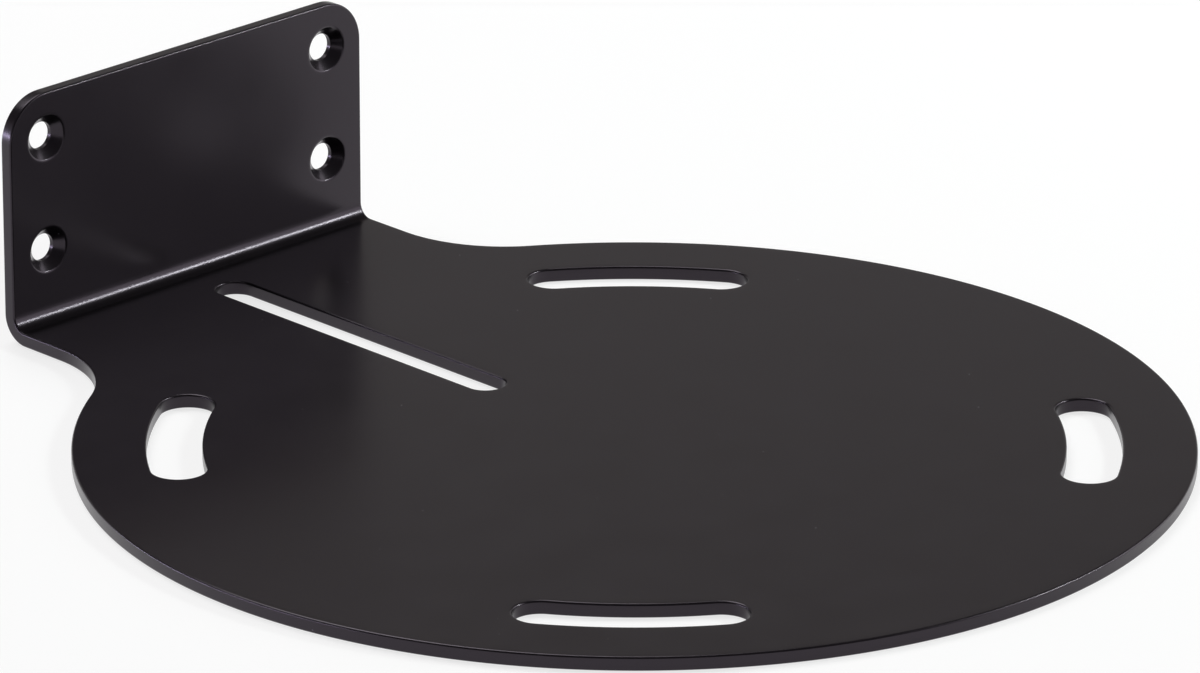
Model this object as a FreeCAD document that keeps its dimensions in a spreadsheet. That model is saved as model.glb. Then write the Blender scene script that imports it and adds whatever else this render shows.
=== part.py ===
import FreeCAD, Part
import Sketcher
import math
import os

# A wall bracket folded from one steel sheet. An upright flange is screwed to
# the wall and a round shelf stands out from it to carry a speaker.
# Millimetres: X runs along the wall, Y into the wall, Z up.

sizes = {
    "thickness": 3.0,           # of the sheet
    "bend_radius": 3.0,         # inside of the fold
    "flange_width": 100.0,      # also the width of the shelf where it leaves the fold
    "flange_height": 53.5,      # from the shelf's underside to the top edge
    "corner_radius": 10.0,      # two top corners of the flange
    "disc_radius": 115.0,       # round part of the shelf
    "disc_gap": 20.0,           # from the flange's front to the disc
    "neck_radius": 29.4,        # hollow curves between the disc and the sides
    "ring_inset": 21.0,         # from the disc's rim to the curved slots' centre line
    "ring_slot_width": 11.4,
    "ring_slot_sweep": 21.7,    # degrees between the centres of a slot's round ends
    "ring_slot_turn": 45.0,     # degrees from the X axis to the first slot
    "ring_slot_count": 4,
    "cable_slot_width": 8.4,
    "cable_slot_length": 85.2,  # over its round ends
    "cable_slot_gap": 10.0,     # from the flange's front to its near end
    "screw_margin": 10.0,       # from the top and side edges to the screws
    "screw_pitch": 25.0,        # from the upper screws down to the lower ones
    "screw_hole": 6.0,          # diameter
    "countersink": 10.0,        # diameter at the flange's front
    "countersink_angle": 90.0,
    "edge_round": 0.5,          # rounded rim of the outline, on the side that faces the room
    "edge_break": 0.4,          # chamfer on every other rim of the sheet
}

doc = FreeCAD.newDocument("wall_bracket")
sheet = doc.addObject("Spreadsheet::Sheet", "sizes")
for row, (alias, value) in enumerate(sizes.items(), start=1):
    sheet.set("A%d" % row, alias)
    sheet.set("B%d" % row, str(value))
    sheet.setAlias("B%d" % row, alias)
doc.recompute()

body = doc.addObject("PartDesign::Body", "mounting_plate")
body.Label = "mounting_plate"

# how a sketch counts its own axes, and the points of a curve in it
X_AXIS, Y_AXIS = range(-1, -3, -1)
START, END, CENTRE = range(1, 4)
ORIGIN = (X_AXIS, START)

# lengths and directions closer than this are the same
NEAR = 1e-4


def sketchOn(role, name):
    """A sketch that lies on one of the body's own origin planes."""
    sketch = body.newObject("Sketcher::SketchObject", name)
    plane = next(f for f in body.Origin.OriginFeatures if f.Role == role)
    sketch.AttachmentSupport = (plane, [""])
    sketch.MapMode = "FlatFace"
    return sketch


def line(sketch, x1, y1, x2, y2):
    ends = FreeCAD.Vector(x1, y1), FreeCAD.Vector(x2, y2)
    return sketch.addGeometry(Part.LineSegment(*ends))


def roundAbout(x, y, radius):
    return Part.Circle(FreeCAD.Vector(x, y), FreeCAD.Vector(0, 0, 1), radius)


def arc(sketch, x, y, radius, start, end):
    """An arc about (x, y), anticlockwise between two angles in degrees."""
    angles = math.radians(start), math.radians(end)
    return sketch.addGeometry(Part.ArcOfCircle(roundAbout(x, y, radius), *angles))


def constrain(sketch, kind, *places):
    sketch.addConstraint(Sketcher.Constraint(kind, *places))


def dimension(sketch, name, kind, places, expression):
    """A named dimension, added at its drawn value and then tied to the sizes."""
    if kind == "Radius":
        drawn = sketch.Geometry[places[0]].Radius
    else:
        span = sketch.getPoint(*places[2:]) - sketch.getPoint(*places[:2])
        drawn = span.x if kind == "DistanceX" else span.y
    index = sketch.addConstraint(Sketcher.Constraint(kind, *places, drawn))
    sketch.renameConstraint(index, name)
    sketch.setExpression("Constraints." + name, expression)


def feature(kind, name, sketch=None):
    """A feature of the body, made its tip, with its sketch if it has one."""
    if sketch:
        doc.recompute()
    made = body.newObject("PartDesign::" + kind, name)
    if sketch:
        made.Profile = (sketch, [""])
    body.Tip = made
    return made


def settle(made, before):
    """Recomputes, and stops where a feature left the solid as it was."""
    doc.recompute()
    if abs(made.Shape.Volume - before) < NEAR:
        raise ValueError(made.Name + " changed nothing")
    return made.Shape.Volume


# The fold seen from its end: flange and bend, up to where the shelf begins.
thickness = sizes["thickness"]
height = sizes["flange_height"]
inner = sizes["bend_radius"]
outer = inner + thickness
fold = sketchOn("YZ_Plane", "fold_section")
wall = line(fold, 0, outer, 0, height)
top = line(fold, 0, height, -thickness, height)
front = line(fold, -thickness, height, -thickness, outer)
inside = arc(fold, -outer, outer, inner, -90, 0)
foot = line(fold, -outer, thickness, -outer, 0)
outside = arc(fold, -outer, outer, outer, -90, 0)
constrain(fold, "Coincident", wall, END, top, START)
constrain(fold, "Coincident", top, END, front, START)
constrain(fold, "Tangent", front, END, inside, END)
constrain(fold, "Coincident", inside, START, foot, START)
constrain(fold, "Coincident", foot, END, outside, START)
constrain(fold, "Tangent", outside, END, wall, START)
constrain(fold, "PointOnObject", wall, START, Y_AXIS)
constrain(fold, "PointOnObject", wall, END, Y_AXIS)
constrain(fold, "Horizontal", top)
constrain(fold, "Vertical", front)
constrain(fold, "Vertical", foot)
constrain(fold, "PointOnObject", foot, END, X_AXIS)
constrain(fold, "Coincident", inside, CENTRE, outside, CENTRE)
constrain(fold, "PointOnObject", outside, CENTRE, foot)
dimension(fold, "height", "DistanceY", (*ORIGIN, wall, END), "sizes.flange_height")
dimension(fold, "thickness", "DistanceX", (top, END, top, START), "sizes.thickness")
dimension(fold, "bend", "Radius", (inside,), "sizes.bend_radius")

flange = feature("Pad", "flange", fold)
flange.SideType = "Symmetric"
flange.setExpression("Length", "sizes.flange_width")
volume = settle(flange, 0)

# The shelf from above: straight sides, hollow necks and the round disc, every
# joint of them tangent.
half = sizes["flange_width"] / 2
disc = sizes["disc_radius"]
neck = sizes["neck_radius"]
reach = thickness + sizes["disc_gap"] + disc
neckX = half + neck
neckY = math.sqrt((disc + neck) ** 2 - neckX ** 2) - reach
turn = math.degrees(math.atan2(neckY + reach, neckX))
plan = sketchOn("XY_Plane", "shelf_plan")
back = line(plan, -half, -outer, half, -outer)
rightSide = line(plan, half, -outer, half, neckY)
rightNeck = arc(plan, neckX, neckY, neck, 180, 180 + turn)
rim = arc(plan, 0, -reach, disc, 180 - turn, 360 + turn)
leftNeck = arc(plan, -neckX, neckY, neck, 360 - turn, 360)
leftSide = line(plan, -half, neckY, -half, -outer)
constrain(plan, "Coincident", back, END, rightSide, START)
constrain(plan, "Tangent", rightSide, END, rightNeck, START)
constrain(plan, "Tangent", rightNeck, END, rim, END)
constrain(plan, "Tangent", rim, START, leftNeck, START)
constrain(plan, "Tangent", leftNeck, END, leftSide, START)
constrain(plan, "Coincident", leftSide, END, back, START)
constrain(plan, "Vertical", rightSide)
constrain(plan, "Vertical", leftSide)
constrain(plan, "Symmetric", back, START, back, END, Y_AXIS)
constrain(plan, "Equal", rightNeck, leftNeck)
constrain(plan, "PointOnObject", rim, CENTRE, Y_AXIS)
dimension(plan, "width", "DistanceX", (back, START, back, END), "sizes.flange_width")
dimension(plan, "fold", "DistanceY", (back, START, *ORIGIN), "sizes.thickness + sizes.bend_radius")
dimension(plan, "reach", "DistanceY", (rim, CENTRE, *ORIGIN),
          "sizes.thickness + sizes.disc_gap + sizes.disc_radius")
dimension(plan, "disc", "Radius", (rim,), "sizes.disc_radius")
dimension(plan, "neck", "Radius", (rightNeck,), "sizes.neck_radius")

shelf = feature("Pad", "shelf", plan)
shelf.setExpression("Length", "sizes.thickness")
volume = settle(shelf, volume)

# The two top corners, on the short edges that run through the sheet.
corners = []
for number, edge in enumerate(shelf.Shape.Edges, start=1):
    ends = [vertex.Point for vertex in edge.Vertexes]
    atTop = all(abs(p.z - height) < NEAR and abs(abs(p.x) - half) < NEAR for p in ends)
    if atTop and abs(ends[0].y - ends[-1].y) > NEAR:
        corners.append("Edge%d" % number)
roundCorners = feature("Fillet", "round_corners")
roundCorners.Base = (shelf, corners)
roundCorners.setExpression("Radius", "sizes.corner_radius")
volume = settle(roundCorners, volume)

# One curved slot about the disc's centre, then the rest of them in its ring.
ring = disc - sizes["ring_inset"]
slotHalf = sizes["ring_slot_width"] / 2
sweep = sizes["ring_slot_sweep"] / 2
endX = ring * math.cos(math.radians(sweep))
endY = ring * math.sin(math.radians(sweep))
curve = sketchOn("XY_Plane", "ring_slot_plan")
curve.setExpression("AttachmentOffset.Base.y", "-shelf_plan.Constraints.reach")
curve.setExpression("AttachmentOffset.Rotation.Angle", "sizes.ring_slot_turn")
outside = arc(curve, 0, 0, ring + slotHalf, -sweep, sweep)
inside = arc(curve, 0, 0, ring - slotHalf, -sweep, sweep)
upper = arc(curve, endX, endY, slotHalf, sweep, sweep + 180)
lower = arc(curve, endX, -endY, slotHalf, 180 - sweep, 360 - sweep)
constrain(curve, "Coincident", outside, CENTRE, *ORIGIN)
constrain(curve, "Coincident", inside, CENTRE, *ORIGIN)
constrain(curve, "Tangent", outside, END, upper, START)
constrain(curve, "Tangent", upper, END, inside, END)
constrain(curve, "Tangent", inside, START, lower, START)
constrain(curve, "Tangent", lower, END, outside, START)
dimension(curve, "outside", "Radius", (outside,),
          "sizes.disc_radius - sizes.ring_inset + sizes.ring_slot_width / 2")
dimension(curve, "inside", "Radius", (inside,),
          "sizes.disc_radius - sizes.ring_inset - sizes.ring_slot_width / 2")
for name, places in (("upper", (*ORIGIN, upper, CENTRE)), ("lower", (lower, CENTRE, *ORIGIN))):
    dimension(curve, name, "DistanceY", places,
              "(sizes.disc_radius - sizes.ring_inset) * sin(sizes.ring_slot_sweep * 1deg / 2)")

ringSlot = feature("Pocket", "ring_slot", curve)
ringSlot.Type = "ThroughAll"
ringSlot.Reversed = True
cut = settle(ringSlot, volume) - volume
ringSlots = feature("PolarPattern", "ring_slots")
ringSlots.Originals = [ringSlot]
ringSlots.Axis = (curve, ["N_Axis"])
ringSlots.Angle = 360
ringSlots.setExpression("Occurrences", "sizes.ring_slot_count")
volume = settle(ringSlots, volume + cut)

# The long cable slot, square to the wall.
slotHalf = sizes["cable_slot_width"] / 2
nearY =-thickness - sizes["cable_slot_gap"] - slotHalf
farY = nearY - sizes["cable_slot_length"] + 2 * slotHalf
cable = sketchOn("XY_Plane", "cable_slot_plan")
near = arc(cable, 0, nearY, slotHalf, 0, 180)
left = line(cable, -slotHalf, nearY, -slotHalf, farY)
far = arc(cable, 0, farY, slotHalf, 180, 360)
right = line(cable, slotHalf, farY, slotHalf, nearY)
constrain(cable, "Tangent", near, END, left, START)
constrain(cable, "Tangent", left, END, far, START)
constrain(cable, "Tangent", far, END, right, START)
constrain(cable, "Tangent", right, END, near, START)
constrain(cable, "PointOnObject", near, CENTRE, Y_AXIS)
constrain(cable, "PointOnObject", far, CENTRE, Y_AXIS)
constrain(cable, "Equal", near, far)
dimension(cable, "end", "Radius", (near,), "sizes.cable_slot_width / 2")
dimension(cable, "gap", "DistanceY", (near, CENTRE, *ORIGIN),
          "sizes.thickness + sizes.cable_slot_gap + sizes.cable_slot_width / 2")
dimension(cable, "length", "DistanceY", (far, CENTRE, near, CENTRE),
          "sizes.cable_slot_length - sizes.cable_slot_width")

cableSlot = feature("Pocket", "cable_slot", cable)
cableSlot.Type = "ThroughAll"
cableSlot.Reversed = True
volume = settle(cableSlot, volume)


def isSkin(face):
    """True on the sheet's two broad sides, false on what was cut through it."""
    surface = face.Surface
    if isinstance(surface, Part.Cylinder):
        return abs(surface.Axis.x) > 1 - NEAR
    if not isinstance(surface, Part.Plane):
        return False
    onShelf = abs(surface.Axis.z) > 1 - NEAR and face.CenterOfMass.z < outer
    return onShelf or abs(surface.Axis.y) > 1 - NEAR


def facesRoom(face):
    """True on the broad side that is the flange's front and the shelf's top."""
    middle = face.CenterOfMass
    if isinstance(face.Surface, Part.Cylinder):
        return abs(face.Surface.Radius - inner) < NEAR
    if abs(face.Surface.Axis.z) > 1 - NEAR:
        return abs(middle.z - thickness) < NEAR
    return abs(middle.y + thickness) < NEAR


def rimEdges(shape, outline):
    """The rims of the sheet: its outline on the room's side, or all the others."""
    names = []
    for number, edge in enumerate(shape.Edges, start=1):
        skins = [face for face in shape.ancestorsOfType(edge, Part.Face) if isSkin(face)]
        if len(skins) != 1:
            continue
        around = any(edge.isSame(other) for other in skins[0].OuterWire.Edges)
        if (around and facesRoom(skins[0])) == outline:
            names.append("Edge%d" % number)
    return names


# The outline's rim is rounded where hands meet it, in one run over the fold.
# Every other rim is only broken.
brokenRims = feature("Chamfer", "broken_rims")
brokenRims.Base = (cableSlot, rimEdges(cableSlot.Shape, False))
brokenRims.setExpression("Size", "sizes.edge_break")
volume = settle(brokenRims, volume)
roundRim = feature("Fillet", "round_rim")
roundRim.Base = (brokenRims, rimEdges(brokenRims.Shape, True))
roundRim.setExpression("Radius", "sizes.edge_round")
volume = settle(roundRim, volume)

# Four countersunk screw holes, entered from the flange's front.
screwX = half - sizes["screw_margin"]
topZ = height - sizes["screw_margin"]
lowZ = topZ - sizes["screw_pitch"]
bore = sizes["screw_hole"] / 2
screws = sketchOn("XZ_Plane", "screw_plan")
screws.setExpression("AttachmentOffset.Base.z", "sizes.thickness")
topLeft, topRight, lowLeft, lowRight = [
    screws.addGeometry(roundAbout(x, z, bore)) for z in (topZ, lowZ) for x in (-screwX, screwX)]
constrain(screws, "Equal", topLeft, topRight)
constrain(screws, "Equal", topLeft, lowLeft)
constrain(screws, "Equal", topLeft, lowRight)
constrain(screws, "Symmetric", topLeft, CENTRE, topRight, CENTRE, Y_AXIS)
constrain(screws, "Symmetric", lowLeft, CENTRE, lowRight, CENTRE, Y_AXIS)
constrain(screws, "Vertical", topLeft, CENTRE, lowLeft, CENTRE)
dimension(screws, "bore", "Radius", (topLeft,), "sizes.screw_hole / 2")
dimension(screws, "across", "DistanceX", (topLeft, CENTRE, topRight, CENTRE),
          "sizes.flange_width - 2 * sizes.screw_margin")
dimension(screws, "top", "DistanceY", (*ORIGIN, topLeft, CENTRE),
          "sizes.flange_height - sizes.screw_margin")
dimension(screws, "pitch", "DistanceY", (lowLeft, CENTRE, topLeft, CENTRE), "sizes.screw_pitch")

holes = feature("Hole", "screw_holes", screws)
holes.ThreadType = "None"
holes.DepthType = "ThroughAll"
holes.HoleCutType = "Countersink"
holes.HoleCutCustomValues = True
holes.setExpression("Diameter", "sizes.screw_hole")
holes.setExpression("HoleCutDiameter", "sizes.countersink")
holes.setExpression("HoleCutCountersinkAngle", "sizes.countersink_angle")
settle(holes, volume)

# The part's origin is the middle of the four screws, on the wall.
body.setExpression("Placement.Base.z",
                   "sizes.screw_margin + sizes.screw_pitch / 2 - sizes.flange_height")
doc.recompute()

for item in doc.Objects:
    if "Invalid" in item.State or "Error" in item.State:
        raise ValueError(item.Name + " failed")
    if item.TypeId == "Sketcher::SketchObject" and not item.FullyConstrained:
        raise ValueError(item.Name + " is not fully constrained")
if body.Shape.isNull() or not body.Shape.isValid() or len(body.Shape.Solids) != 1:
    raise ValueError("the plate is not one sound solid")

os.makedirs("parts", exist_ok=True)
body.Shape.exportStep("parts/%s.step" % body.Label)
box = body.Shape.optimalBoundingBox(False)
print("plate", round(box.XLength, 2), round(box.YLength, 2), round(box.ZLength, 2),
      "mm, volume", round(body.Shape.Volume / 1000, 2), "cm3")
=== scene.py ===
import bpy
import bmesh
import math
from mathutils import Euler, Matrix, Vector


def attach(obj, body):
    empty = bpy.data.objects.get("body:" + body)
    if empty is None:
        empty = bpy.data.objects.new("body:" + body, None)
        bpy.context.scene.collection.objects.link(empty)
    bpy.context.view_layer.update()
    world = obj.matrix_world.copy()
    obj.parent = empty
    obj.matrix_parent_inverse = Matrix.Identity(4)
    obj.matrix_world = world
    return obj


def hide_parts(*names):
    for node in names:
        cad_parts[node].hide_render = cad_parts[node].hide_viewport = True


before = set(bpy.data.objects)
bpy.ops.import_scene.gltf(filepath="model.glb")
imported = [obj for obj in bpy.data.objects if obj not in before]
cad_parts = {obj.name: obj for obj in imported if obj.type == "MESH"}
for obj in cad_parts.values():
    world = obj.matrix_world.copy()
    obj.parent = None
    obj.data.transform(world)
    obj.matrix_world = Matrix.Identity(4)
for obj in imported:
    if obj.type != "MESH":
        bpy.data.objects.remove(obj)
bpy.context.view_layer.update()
scene = bpy.context.scene
mm = 0.001


def linearColour(code):
    # sRGB hex to the linear values that the shader sockets take
    parts = [int(code[i:i + 2], 16) / 255 for i in (1, 3, 5)]
    return tuple(p / 12.92 if p < 0.04045 else ((p + 0.055) / 1.055) ** 2.4 for p in parts) + (1.0,)


def addNode(tree, kind, settings=None, links=None):
    # numbers and socket names go to the inputs, other names are the node's own settings
    node = tree.nodes.new(kind)
    for key, value in (settings or {}).items():
        if isinstance(key, int) or key in node.inputs:
            node.inputs[key].default_value = value
        else:
            setattr(node, key, value)
    for key, source in (links or {}).items():
        tree.links.new(source, node.inputs[key])
    return node


# placed by fitting the plate's outline in the photograph
view = {
    "place": (-1.30638, -1.46126, 0.70865),
    "turn": (68.9844, -0.0316, -44.4017),   # degrees
    "lens": 293.66,
    "sensor": 36.0,
    "clipStart": 0.01,
}


def makeCamera(v):
    data = bpy.data.cameras.new("camera")
    data.lens = v["lens"]
    data.sensor_width = v["sensor"]
    data.sensor_fit = "HORIZONTAL"
    data.clip_start = v["clipStart"]
    camera = bpy.data.objects.new("camera", data)
    camera.location = v["place"]
    camera.rotation_euler = Euler([math.radians(a) for a in v["turn"]], "XYZ")
    scene.collection.objects.link(camera)
    return camera


scene.camera = makeCamera(view)
print("camera placed")


# the folded plate, in millimetres; drawn flat first, folded up at the end
plate = {
    "thickness": 3.0,
    "bendRadius": 3.0,        # inside the fold
    "flangeWidth": 100.0,
    "flangeHeight": 53.5,
    "cornerRadius": 10.0,
    "underside": -31.0,       # height of the shelf's lower face, the screws are round z = 0
    "discRadius": 114.96,     # 0.04 under the real one, to stay within the solid plate's facets
    "discGap": 20.0,          # flange front to the nearest point of the disc
    "neckRadius": 29.4,
    "slotInset": 21.0,        # disc rim to the middle of the curved slots
    "slotWidth": 11.4,
    "slotSweep": 21.7,        # degrees between a slot's end centres
    "slotAngles": (45, 135, 225, 315),
    "cableWidth": 8.4,
    "cableLength": 85.2,
    "cableGap": 10.0,         # flange front to the cable slot
    "screwAcross": 80.0,
    "screwUp": 25.0,
    "screwHole": 6.0,
    "screwRuns": 64,          # short runs round a screw hole
    "countersink": 10.0,
    "rimRound": 0.45,
    "rimSteps": 5,
    "holeRound": 0.3,         # only where a countersink meets the flange
    "holeSteps": 3,
    "sharpAngle": 30.0,       # degrees, from here on an edge is a rim
    "arcStep": 1.6,           # length of the short runs that make an arc
    "arcLeast": 8,            # and the fewest of them
    "foldSteps": 16,
    "foldGuard": 0.4,         # one more cut this far beyond each end of the fold
    "border": 2.6,            # ring of even faces along each rim
    "mergeReach": 0.02,       # pen points closer than this are one
    "screwReach": 0.3,        # how far past its rim a screw hole's edges are looked for
    "close": 0.01,            # allowance when a place is looked up
}


def drawLine(bm, pen, x, y):
    tip = bmesh.ops.extrude_vert_indiv(bm, verts=[pen])["verts"][0]
    bmesh.ops.translate(bm, verts=[tip], vec=Vector((x, y, 0)) - tip.co)
    return tip


def drawArc(bm, pen, centre, turn, step):
    reach = (pen.co - Vector((*centre, 0))).length
    steps = max(plate["arcLeast"], math.ceil(reach * math.radians(abs(turn)) / step))
    swept = bmesh.ops.spin(bm, geom=[pen], cent=(*centre, 0), axis=(0, 0, 1),
                           angle=math.radians(turn), steps=steps, use_merge=False)
    return [part for part in swept["geom_last"] if isinstance(part, bmesh.types.BMVert)][0]


def around(centre, radius, angle):
    return (centre[0] + radius * math.cos(math.radians(angle)),
            centre[1] + radius * math.sin(math.radians(angle)))


def drawOutline(bm, p, flatTop):
    # flange side, top and side, then neck, disc and neck, anticlockwise
    half = p["flangeWidth"] / 2
    corner = p["cornerRadius"]
    discY = -p["thickness"] - p["discGap"] - p["discRadius"]
    neckX = half + p["neckRadius"]
    neckUp = math.sqrt((p["discRadius"] + p["neckRadius"]) ** 2 - neckX ** 2)
    neckY = discY + neckUp
    turn = math.degrees(math.atan2(neckUp, neckX))
    step = p["arcStep"]
    pen = bm.verts.new((half, neckY, 0))
    pen = drawLine(bm, pen, half, flatTop - corner)
    pen = drawArc(bm, pen, (half - corner, flatTop - corner), 90, step / 2)
    pen = drawLine(bm, pen, corner - half, flatTop)
    pen = drawArc(bm, pen, (corner - half, flatTop - corner), 90, step / 2)
    pen = drawLine(bm, pen, -half, neckY)
    pen = drawArc(bm, pen, (-neckX, neckY), -turn, step)
    pen = drawArc(bm, pen, (0, discY), 180 + 2 * turn, step)
    drawArc(bm, pen, (neckX, neckY), -turn, step)
    return discY


def drawStraightSlot(bm, first, second, width, step):
    along = (Vector(second) - Vector(first)).normalized()
    side = Vector((along.y, -along.x)) * width / 2
    pen = bm.verts.new((first[0] + side.x, first[1] + side.y, 0))
    pen = drawLine(bm, pen, second[0] + side.x, second[1] + side.y)
    pen = drawArc(bm, pen, second, 180, step)
    pen = drawLine(bm, pen, first[0] - side.x, first[1] - side.y)
    drawArc(bm, pen, first, 180, step)


def drawCurvedSlot(bm, centre, radius, angle, sweep, width, step):
    first = around(centre, radius, angle - sweep / 2)
    second = around(centre, radius, angle + sweep / 2)
    outside = around(centre, radius + width / 2, angle - sweep / 2)
    pen = bm.verts.new((*outside, 0))
    pen = drawArc(bm, pen, centre, sweep, step)
    pen = drawArc(bm, pen, second, 180, step / 2)
    pen = drawArc(bm, pen, centre, -sweep, step)
    drawArc(bm, pen, first, 180, step / 2)


def layFold(p):
    # where the fold lies in the flat sheet, measured along the sheet's middle
    outer = p["bendRadius"] + p["thickness"]
    length = (p["bendRadius"] + outer) / 2 * math.pi / 2
    return {"outer": outer, "start": -outer, "end": length - outer, "length": length,
            "flatTop": length - outer + p["flangeHeight"] - outer}


def drawSheet(bm, p, fold):
    discY = drawOutline(bm, p, fold["flatTop"])
    ring = p["discRadius"] - p["slotInset"]
    for angle in p["slotAngles"]:
        drawCurvedSlot(bm, (0, discY), ring, angle, p["slotSweep"], p["slotWidth"], p["arcStep"] / 2)
    near = -p["thickness"] - p["cableGap"] - p["cableWidth"] / 2
    far = near - (p["cableLength"] - p["cableWidth"])
    drawStraightSlot(bm, (0, far), (0, near), p["cableWidth"], p["arcStep"] / 3)
    screws = []
    for x in (-0.5, 0.5):
        for z in (-0.5, 0.5):
            flatY = fold["end"] + z * p["screwUp"] - (p["underside"] + fold["outer"])
            screws.append(Vector((x * p["screwAcross"], flatY, 0)))
            bmesh.ops.create_circle(bm, cap_ends=False, radius=p["screwHole"] / 2, segments=p["screwRuns"],
                                    matrix=Matrix.Translation(screws[-1]))
    bmesh.ops.remove_doubles(bm, verts=bm.verts[:], dist=p["mergeReach"])
    return screws


def fillSheet(bm, p):
    bmesh.ops.triangle_fill(bm, use_beauty=True, use_dissolve=False, edges=bm.edges[:], normal=(0, 0, 1))
    border = set(bmesh.ops.inset_region(bm, faces=bm.faces[:], use_boundary=True, use_even_offset=True,
                                        thickness=p["border"], depth=0)["faces"])
    # the first fill only carried the border, so the middle is filled again inside it
    seam = [e for e in bm.edges if len({f in border for f in e.link_faces}) == 2]
    bmesh.ops.delete(bm, geom=[f for f in bm.faces if f not in border], context="FACES")
    bmesh.ops.triangle_fill(bm, use_beauty=True, use_dissolve=False, edges=seam, normal=(0, 0, 1))
    bmesh.ops.recalc_face_normals(bm, faces=bm.faces[:])
    if bm.faces[0].normal.z < 0:
        bmesh.ops.reverse_faces(bm, faces=bm.faces[:])


def thickenSheet(bm, p):
    lifted = bmesh.ops.extrude_face_region(bm, geom=bm.faces[:], use_keep_orig=True)
    bmesh.ops.translate(bm, verts=[v for v in lifted["geom"] if isinstance(v, bmesh.types.BMVert)],
                        vec=(0, 0, p["thickness"]))
    bmesh.ops.recalc_face_normals(bm, faces=bm.faces[:])


def sharpEdges(bm, p, test):
    found = []
    for edge in bm.edges:
        if len(edge.link_faces) == 2 and edge.calc_face_angle(0) > math.radians(p["sharpAngle"]):
            if test((edge.verts[0].co + edge.verts[1].co) / 2):
                found.append(edge)
    return found


def roundEdges(bm, edges, offset, segments):
    bmesh.ops.bevel(bm, geom=edges, offset=offset, offset_type="OFFSET", segments=segments,
                    profile=0.5, affect="EDGES", clamp_overlap=True, material=-1)


def finishRims(bm, p, screws):
    # countersinks first, then every rim gets its rounded edge
    bore = p["screwHole"] / 2
    sunk = p["countersink"] / 2

    def nearScrew(c, reach):
        return any((c.xy - screw.xy).length < reach + p["screwReach"] for screw in screws)

    def onTop(c):
        return c.z > p["thickness"] - p["close"]

    bores = sharpEdges(bm, p, lambda c: onTop(c) and nearScrew(c, bore))
    roundEdges(bm, bores, sunk - bore, 1)
    cones = sharpEdges(bm, p, lambda c: onTop(c) and nearScrew(c, sunk))
    roundEdges(bm, cones, p["holeRound"], p["holeSteps"])
    rims = sharpEdges(bm, p, lambda c: not nearScrew(c, sunk))
    roundEdges(bm, rims, p["rimRound"], p["rimSteps"])
    for edge in sharpEdges(bm, p, lambda c: nearScrew(c, sunk)):
        edge.smooth = False   # a bore's own ends stay crisp


def cutFold(bm, p, fold):
    # cuts across the fold, with one more beyond each end to hold the flat faces flat
    def cutAt(y):
        bmesh.ops.bisect_plane(bm, geom=bm.verts[:] + bm.edges[:] + bm.faces[:], dist=0.00001,
                               plane_co=(0, y, 0), plane_no=(0, 1, 0))

    for y in (fold["start"] - p["foldGuard"], fold["start"], fold["end"], fold["end"] + p["foldGuard"]):
        cutAt(y)
    inside = p["flangeWidth"] / 2 - p["border"] + p["close"]
    for level in (0, p["thickness"]):
        strip = [f for f in bm.faces if abs(f.calc_center_median().z - level) < p["close"]
                 and fold["start"] < f.calc_center_median().y < fold["end"]
                 and max(abs(v.co.x) for v in f.verts) < inside]
        bmesh.ops.dissolve_faces(bm, faces=strip, use_verts=False)
    for i in range(1, p["foldSteps"]):
        cutAt(fold["start"] + fold["length"] * i / p["foldSteps"])


def foldFlange(bm, p, fold):
    # the flange goes up round the bend's centre
    outer = fold["outer"]
    for vert in bm.verts:
        x, y, z = vert.co
        along = y - fold["start"]
        if along <= 0:
            vert.co = (x, y, p["underside"] + z)
        elif along < fold["length"]:
            angle = along / fold["length"] * math.pi / 2
            vert.co = (x, fold["start"] + (outer - z) * math.sin(angle),
                       p["underside"] + outer - (outer - z) * math.cos(angle))
        else:
            vert.co = (x, -z, p["underside"] + outer + along - fold["length"])


def makePlate(p):
    bm = bmesh.new()
    fold = layFold(p)
    screws = drawSheet(bm, p, fold)
    fillSheet(bm, p)
    thickenSheet(bm, p)
    finishRims(bm, p, screws)
    cutFold(bm, p, fold)
    foldFlange(bm, p, fold)
    bmesh.ops.scale(bm, vec=(mm, mm, mm), verts=bm.verts[:])
    bmesh.ops.recalc_face_normals(bm, faces=bm.faces[:])
    for face in bm.faces:
        face.smooth = True
    mesh = bpy.data.meshes.new("steelPlate")
    bm.to_mesh(mesh)
    bm.free()
    piece = bpy.data.objects.new("steelPlate", mesh)
    scene.collection.objects.link(piece)
    shading = piece.modifiers.new("evenShading", "WEIGHTED_NORMAL")
    shading.weight = 100   # the broad faces decide, so they stay flat up to their rims
    shading.keep_sharp = True
    return piece


steelPlate = makePlate(plate)
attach(steelPlate, "root")
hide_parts("mounting_plate")
print("plate folded:", len(steelPlate.data.polygons), "faces")


# black polyester powder coat, sprayed dry on steel and baked: a smooth satin skin,
# slightly wavy like orange peel, with blurred reflections
coat = {
    "colour": "#161416",
    "roughness": 0.24,
    "ior": 1.5,
    "sheenTint": "#fcecff",   # the mirrored light turns faintly violet face on
    "peelSize": 1.6,          # mm from wave to wave
    "peelHeight": 0.003,      # mm
    "peelDetail": 2.0,
    "peelRoughness": 0.4,
    "patchSize": 14.0,        # mm, slow change of gloss and shade
    "patchDetail": 3.0,
    "glossChange": 0.02,
    "shadeChange": 0.06,
    "nibSpacing": 7.0,        # mm between the places where a speck of dust may be baked in
    "nibShare": 0.4,          # of those places that have one
    "nibSize": 0.16,          # mm
    "nibColour": "#6a686c",
}


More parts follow.
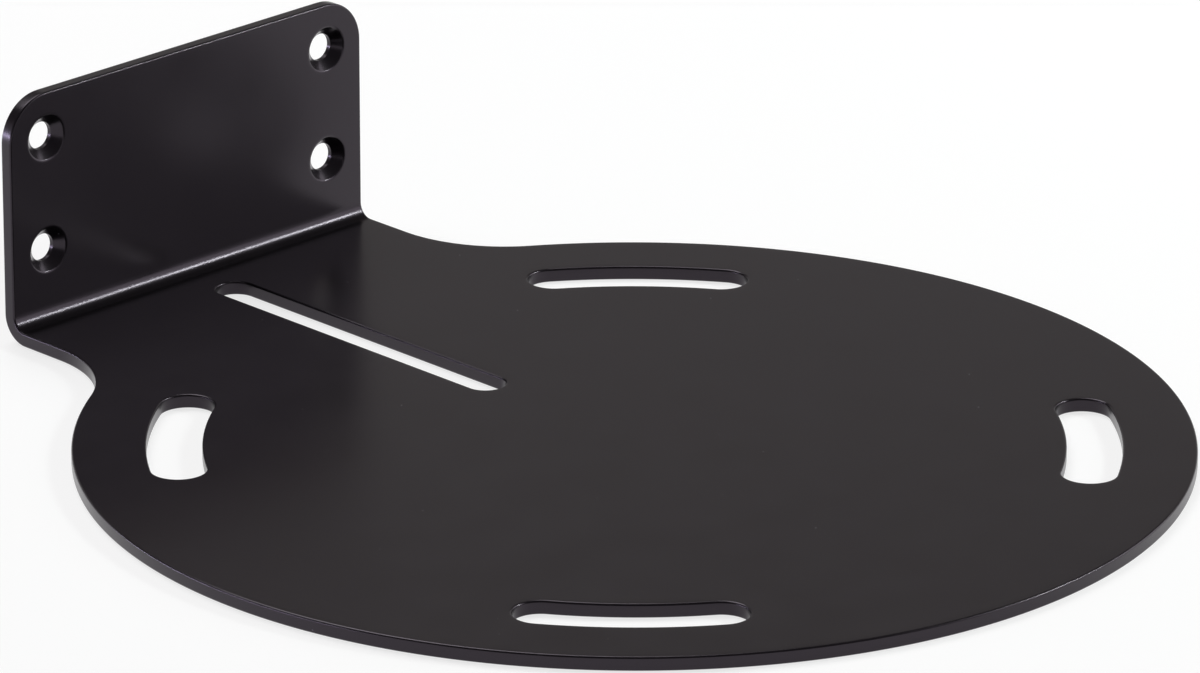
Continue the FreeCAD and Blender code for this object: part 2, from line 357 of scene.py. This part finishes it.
def makePowderCoat(c):
    material = bpy.data.materials.new("powderCoat")
    material.use_nodes = True
    tree = material.node_tree
    tree.nodes.clear()
    place = addNode(tree, "ShaderNodeTexCoord").outputs["Object"]

    # slow patches shift the gloss and the shade a little
    patches = addNode(tree, "ShaderNodeTexNoise",
                      {"Scale": 1 / (c["patchSize"] * mm), "Detail": c["patchDetail"]},
                      {"Vector": place}).outputs["Fac"]
    middle = {"From Min": 0.3, "From Max": 0.7}   # nearly all of the noise lies between these
    gloss = addNode(tree, "ShaderNodeMapRange",
                    {**middle, "To Min": c["roughness"] - c["glossChange"],
                     "To Max": c["roughness"] + c["glossChange"]},
                    {"Value": patches}).outputs["Result"]
    shade = addNode(tree, "ShaderNodeMapRange",
                    {**middle, "To Min": 1 - c["shadeChange"], "To Max": 1 + c["shadeChange"]},
                    {"Value": patches}).outputs["Result"]
    black = addNode(tree, "ShaderNodeVectorMath", {"operation": "SCALE", 0: linearColour(c["colour"])[:3]},
                    {"Scale": shade}).outputs[0]

    # a few specks of dust, baked in
    specks = addNode(tree, "ShaderNodeTexVoronoi", {"Scale": 1 / (c["nibSpacing"] * mm), "Randomness": 1.0},
                     {"Vector": place})
    small = addNode(tree, "ShaderNodeMath", {"operation": "LESS_THAN", 1: c["nibSize"] / c["nibSpacing"]},
                    {0: specks.outputs["Distance"]}).outputs[0]
    chance = addNode(tree, "ShaderNodeSeparateColor", None,
                     {"Color": specks.outputs["Color"]}).outputs["Red"]
    kept = addNode(tree, "ShaderNodeMath", {"operation": "GREATER_THAN", 1: 1 - c["nibShare"]},
                   {0: chance}).outputs[0]
    nibs = addNode(tree, "ShaderNodeMath", {"operation": "MULTIPLY"}, {0: small, 1: kept}).outputs[0]
    colour = addNode(tree, "ShaderNodeMix", {"data_type": "RGBA", 7: linearColour(c["nibColour"])},
                     {0: nibs, 6: black}).outputs[2]

    # orange peel
    peel = addNode(tree, "ShaderNodeTexNoise",
                   {"Scale": 1 / (c["peelSize"] * mm), "Detail": c["peelDetail"],
                    "Roughness": c["peelRoughness"]},
                   {"Vector": place}).outputs["Fac"]
    waves = addNode(tree, "ShaderNodeBump", {"Strength": 1.0, "Distance": c["peelHeight"] * mm},
                    {"Height": peel}).outputs["Normal"]

    shader = addNode(tree, "ShaderNodeBsdfPrincipled",
                     {"IOR": c["ior"], "Metallic": 0.0, "Specular Tint": linearColour(c["sheenTint"])},
                     {"Base Color": colour, "Roughness": gloss, "Normal": waves})
    addNode(tree, "ShaderNodeOutputMaterial", None, {"Surface": shader.outputs["BSDF"]})
    return material


steelPlate.data.materials.append(makePowderCoat(coat))
print("powder coat mixed")


# white card under the plate, a dim room around it, and soft light
# from the front right, from above and low from the back left
studio = {
    "floorSize": 9.0,
    "floorColour": "#969696",   # the lit part, which adds up to white with the glow
    "floorGap": 0.2,          # mm of air under the plate, so that the two faces don't lie in one plane
    "floorGlow": 0.75,        # part of the floor's white that the shadow doesn't touch
    # sine of the height above the horizon, and the room's colour there behind the plate
    "room": ((0.0, "#b4b2b1"), (0.31, "#a5a3a2"), (0.36, "#827c7b"),
             (0.42, "#5f5858"), (0.50, "#4b4545"), (1.0, "#3c3838")),
    "dark": "#5e5b5e",        # and on the camera's side
    "darkUpTo": -0.5,         # the room changes from dark to its own colour between these two, along Y
    "roomFrom": 0.3,
    "aim": (0.0, -0.1, 0.0),  # where the softboxes point
}

# degrees round from +X and up, metres, watts
softboxes = {
    "frontRight": {"turn": -35, "up": 20, "distance": 2.0, "width": 2.2, "height": 1.4,
                   "watts": 13.8, "colour": "#fdfaff", "firstHit": False},
    "overhead": {"turn": 80, "up": 62, "distance": 2.2, "width": 1.6, "height": 1.2,
                 "watts": 25.0, "colour": "#ffffff", "firstHit": False},
    "lowStrip": {"turn": 140, "up": 1, "distance": 1.7, "width": 2.0, "height": 0.10,
                 "watts": 13.0, "colour": "#e6e2ff", "firstHit": False},
    # draws the bright line along the fold
    "foldLight": {"turn": -35.7, "up": 32.3, "distance": 1.24, "width": 0.30, "height": 0.15,
                  "watts": 4.4, "colour": "#f3fff8", "firstHit": True},
}


def makeFloor(s, height):
    bm = bmesh.new()
    bmesh.ops.create_grid(bm, x_segments=1, y_segments=1, size=s["floorSize"] / 2,
                          matrix=Matrix.Translation((0, 0, height)))
    mesh = bpy.data.meshes.new("floor")
    bm.to_mesh(mesh)
    bm.free()
    floor = bpy.data.objects.new("floor", mesh)
    scene.collection.objects.link(floor)
    material = bpy.data.materials.new("whiteCard")
    material.use_nodes = True
    tree = material.node_tree
    tree.nodes.clear()
    matte = addNode(tree, "ShaderNodeBsdfDiffuse", {"Color": linearColour(s["floorColour"])}).outputs[0]
    glow = addNode(tree, "ShaderNodeEmission",
                   {"Color": (1, 1, 1, 1), "Strength": s["floorGlow"]}).outputs[0]
    white = addNode(tree, "ShaderNodeAddShader", None, {0: matte, 1: glow}).outputs[0]
    path = addNode(tree, "ShaderNodeLightPath").outputs
    seen = addNode(tree, "ShaderNodeMath", {"operation": "ADD"},
                   {0: path["Is Camera Ray"], 1: path["Is Glossy Ray"]}).outputs[0]
    seen = addNode(tree, "ShaderNodeMath", {"operation": "ADD", "use_clamp": True},
                   {0: seen, 1: path["Is Transmission Ray"]}).outputs[0]
    card = addNode(tree, "ShaderNodeMixShader", None, {0: seen, 1: matte, 2: white}).outputs[0]
    # clear from beneath, where it would otherwise hide the plate's underside
    beneath = addNode(tree, "ShaderNodeNewGeometry").outputs["Backfacing"]
    clear = addNode(tree, "ShaderNodeBsdfTransparent").outputs[0]
    oneWay = addNode(tree, "ShaderNodeMixShader", None, {0: beneath, 1: card, 2: clear}).outputs[0]
    addNode(tree, "ShaderNodeOutputMaterial", None, {"Surface": oneWay})
    mesh.materials.append(material)
    return floor


def makeSurround(s):
    world = bpy.data.worlds.new("surround")
    world.use_nodes = True
    tree = world.node_tree
    tree.nodes.clear()
    way = addNode(tree, "ShaderNodeTexCoord").outputs["Generated"]
    split = addNode(tree, "ShaderNodeSeparateXYZ", None, {0: way}).outputs
    ramp = addNode(tree, "ShaderNodeValToRGB", None, {"Fac": split["Z"]})
    stops = s["room"]
    while len(ramp.color_ramp.elements) < len(stops):
        ramp.color_ramp.elements.new(0.5)
    for element, (height, colour) in zip(ramp.color_ramp.elements, stops):
        element.position = height
        element.color = linearColour(colour)
    behind = addNode(tree, "ShaderNodeMapRange",
                     {"interpolation_type": "SMOOTHSTEP", "From Min": s["darkUpTo"],
                      "From Max": s["roomFrom"]},
                     {"Value": split["Y"]}).outputs["Result"]
    both = addNode(tree, "ShaderNodeMix", {"data_type": "RGBA", 6: linearColour(s["dark"])},
                   {0: behind, 7: ramp.outputs["Color"]}).outputs[2]
    back = addNode(tree, "ShaderNodeBackground", {"Strength": 1.0}, {"Color": both}).outputs[0]
    addNode(tree, "ShaderNodeOutputWorld", None, {"Surface": back})
    scene.world = world


def makeSoftbox(name, aim, box):
    data = bpy.data.lights.new(name, "AREA")
    data.shape = "RECTANGLE"
    data.size = box["width"]
    data.size_y = box["height"]
    data.energy = box["watts"]
    data.color = linearColour(box["colour"])[:3]
    if box["firstHit"]:
        # left out of the second reflection between flange and shelf
        data.cycles.max_bounces = 0
        data.cycles.use_multiple_importance_sampling = False
    lamp = bpy.data.objects.new(name, data)
    turned = Euler((0, -math.radians(box["up"]), math.radians(box["turn"])))
    away = turned.to_matrix() @ Vector((1, 0, 0))
    lamp.location = Vector(aim) + box["distance"] * away
    lamp.rotation_euler = away.to_track_quat("Z", "Y").to_euler()
    lamp.visible_camera = False
    scene.collection.objects.link(lamp)


floor = makeFloor(studio, (plate["underside"] - studio["floorGap"]) * mm)
makeSurround(studio)
for name, box in softboxes.items():
    makeSoftbox(name, studio["aim"], box)
scene.view_settings.view_transform = "Standard"
print("studio lit:", len(softboxes), "softboxes")
